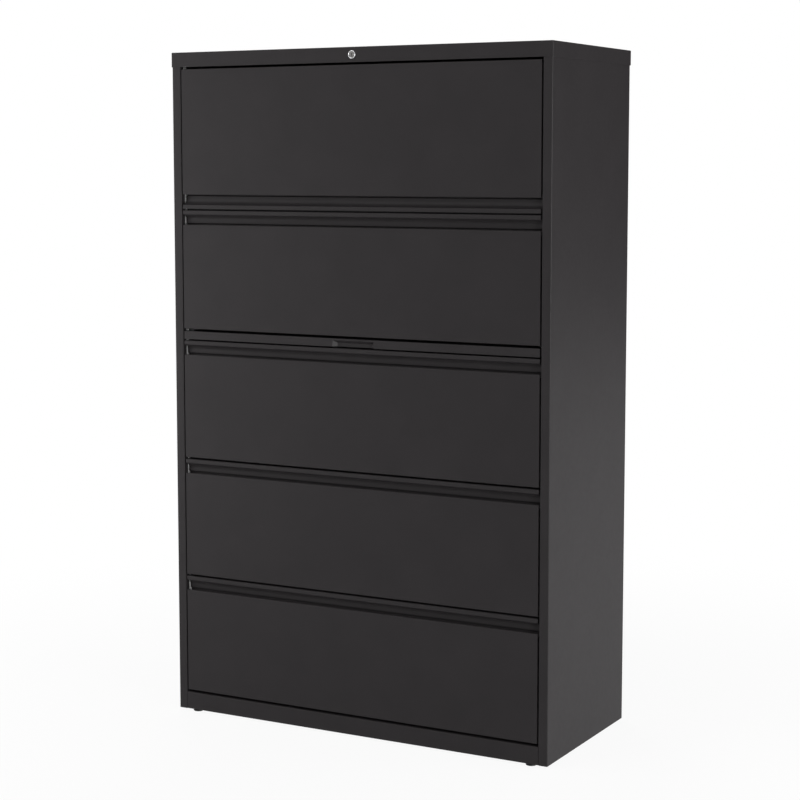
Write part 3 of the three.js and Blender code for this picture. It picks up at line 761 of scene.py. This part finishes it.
def seen_directly(tree):
    """1 for a ray from the camera, a mirror or glass, and 0 for soft light."""
    path = tree.nodes.new("ShaderNodeLightPath")
    total = None
    for name in ("Is Camera Ray", "Is Glossy Ray", "Is Transmission Ray"):
        if total is None:
            total = path.outputs[name]
            continue
        both = tree.nodes.new("ShaderNodeMath")
        both.operation = "MAXIMUM"
        tree.links.new(total, both.inputs[0])
        tree.links.new(path.outputs[name], both.inputs[1])
        total = both.outputs[0]
    return total


class CABINET_OT_stage(Operator):
    """Build the floor, the white room, the lamps and the camera"""

    bl_idname = "cabinet.stage"
    bl_label = "Stage"

    def execute(self, context):
        scene = context.scene
        scene.view_settings.view_transform = "Standard"
        self.room(scene)
        self.floor(scene)
        self.lamps()
        self.flag(scene)
        self.camera(scene)
        return {"FINISHED"}

    def lamps(self):
        middle = (CAD_BOX[0] + CAD_BOX[1]) / 2
        left_edge, right_side = (-0.3, -0.2, 1.05), (0.5, 0, 1.2)
        soft_lamp("left_card", (-1.5, -1.1, 1.1), left_edge, width=0.7, height=1.8, watts=10.5)
        soft_lamp("key", (-1.6, -3.2, 3.8), middle, width=1.6, height=1.6, watts=40)
        right = {"place": (4.0, -2.3, 1.1), "target": middle, "width": 0.9, "height": 1.6}
        soft_lamp("right_front", watts=45, **right)
        soft_lamp("right_glint", watts=280, only_gloss=True, **right)
        soft_lamp("right_softbox", (3.2, 0.9, 1.7), right_side, width=1.4, height=1.4, watts=30)
        soft_lamp("right_bounce", (1.6, 0.1, 0.03), (0.5, 0, 0.4), width=1.0, height=1.2, watts=6)
        soft_lamp("back_softbox", (-2.4, 2.6, 1.7), middle, width=1.6, height=1.8, watts=45)
        soft_lamp("overhead", (0, -0.3, 4.4), middle, width=3.0, height=3.0, watts=14)

    def room(self, scene):
        """White to the camera, dimmer overhead to gloss, and a soft even light to all else."""
        world = bpy.data.worlds.new("white_room")
        world.use_nodes = True
        scene.world = world
        tree = world.node_tree
        tree.nodes.clear()
        path = tree.nodes.new("ShaderNodeLightPath")
        heading = node(tree, "ShaderNodeTexCoord").outputs["Generated"]
        height = node(tree, "ShaderNodeSeparateXYZ", Vector=heading).outputs["Z"]
        ceiling = node(
            tree, "ShaderNodeMapRange", Value=height, From_Min=0.15, From_Max=0.7,
            To_Min=1.0, To_Max=0.3).outputs["Result"]
        soft, mirrored, white = [
            node(tree, "ShaderNodeBackground", Color=(1, 1, 1, 1), Strength=strength).outputs[0]
            for strength in (studio().ambient, ceiling, 1.0)
        ]
        light = soft
        rays = {"Is Glossy Ray": mirrored, "Is Transmission Ray": mirrored, "Is Camera Ray": white}
        for name, seen in rays.items():
            light = shader_mix(tree, path.outputs[name], light, seen)
        output = tree.nodes.new("ShaderNodeOutputWorld")
        tree.links.new(light, output.inputs["Surface"])

    def sheet(self, scene, name, corners, material):
        """Flat piece of the stage."""
        mesh = bpy.data.meshes.new(name)
        mesh.from_pydata(corners, [], [(0, 1, 2, 3)])
        mesh.materials.append(material)
        made = bpy.data.objects.new(name, mesh)
        scene.collection.objects.link(made)
        return made

    def floor(self, scene):
        """White floor that glows where it is seen, and less near the cabinet, to keep its shadow."""
        material = bpy.data.materials.new("white_floor")
        material.use_nodes = True
        tree = material.node_tree
        tree.nodes.clear()
        matt = node(tree, "ShaderNodeBsdfDiffuse", Color=(0.85, 0.85, 0.85, 1))
        glow = node(tree, "ShaderNodeEmission", Color=(1, 1, 1, 1), Strength=1.0)
        place = node(tree, "ShaderNodeTexCoord").outputs["Object"]
        away = tree.nodes.new("ShaderNodeVectorMath")
        away.operation = "LENGTH"
        tree.links.new(place, away.inputs[0])
        plain = node(
            tree, "ShaderNodeMapRange", Value=away.outputs["Value"], From_Min=0.7, From_Max=2.4,
            To_Min=0.92, To_Max=1.0)
        plain.interpolation_type = "SMOOTHSTEP"
        share = tree.nodes.new("ShaderNodeMath")
        share.operation = "MULTIPLY"
        tree.links.new(seen_directly(tree), share.inputs[0])
        tree.links.new(plain.outputs["Result"], share.inputs[1])
        surface = shader_mix(tree, share.outputs[0], matt.outputs[0], glow.outputs[0])
        output = tree.nodes.new("ShaderNodeOutputMaterial")
        tree.links.new(surface, output.inputs["Surface"])
        reach = 30.0
        corners = [(-reach, -reach, 0), (reach, -reach, 0), (reach, reach, 0), (-reach, reach, 0)]
        floor = self.sheet(scene, "floor", corners, material)

    def flag(self, scene):
        """Dark card behind and to the right, which only the gloss of the paint sees."""
        material, tree, shader = new_material("black_flag")
        fill(tree, shader, Base_Color=(0.01, 0.01, 0.01, 1), Roughness=1.0)
        left, right, back, low, high = -1.5, 6.0, 3.0, 0.7, 6.0
        corners = [(left, back, low), (right, back, low), (right, back, high), (left, back, high)]
        flag = self.sheet(scene, "flag", corners, material)
        flag.visible_camera = False
        flag.visible_diffuse = False
        flag.visible_shadow = False

    def camera(self, scene):
        data = bpy.data.cameras.new("camera")
        data.lens = studio().lens
        data.shift_y = -studio().drop
        camera = bpy.data.objects.new("camera", data)
        camera.location = studio().camera
        camera.rotation_euler = (math.pi / 2 - studio().tilt, 0, studio().turn)
        scene.collection.objects.link(camera)
        scene.camera = camera


OPERATORS = [
    CABINET_OT_case, CABINET_OT_glides, CABINET_OT_drawers, CABINET_OT_slides, CABINET_OT_shelf,
    CABINET_OT_door, CABINET_OT_lock, CABINET_OT_stage,
]


class CABINET_PT_pieces(Panel):
    """Lists the operators in the order that main() runs them"""

    bl_idname = "CABINET_PT_pieces"
    bl_label = "Lateral Filing Cabinet"
    bl_space_type = "VIEW_3D"
    bl_region_type = "UI"
    bl_category = "Cabinet"

    def draw(self, context):
        for operator in OPERATORS:
            self.layout.operator(operator.bl_idname)


GROUPS = {
    "cabinet_finish": CabinetFinish,
    "cabinet_sizes": CabinetSizes,
    "cabinet_studio": CabinetStudio,
}
CLASSES = [*GROUPS.values(), *OPERATORS, CABINET_PT_pieces]


def register():
    for cls in CLASSES:
        bpy.utils.register_class(cls)
    for name, group in GROUPS.items():
        setattr(bpy.types.Scene, name, PointerProperty(type=group))


def unregister():
    for name in GROUPS:
        delattr(bpy.types.Scene, name)
    for cls in reversed(CLASSES):
        bpy.utils.unregister_class(cls)


def main():
    register()
    for operator in OPERATORS:
        group, name = operator.bl_idname.split(".")
        getattr(getattr(bpy.ops, group), name)()


if __name__ == "__main__":
    main()
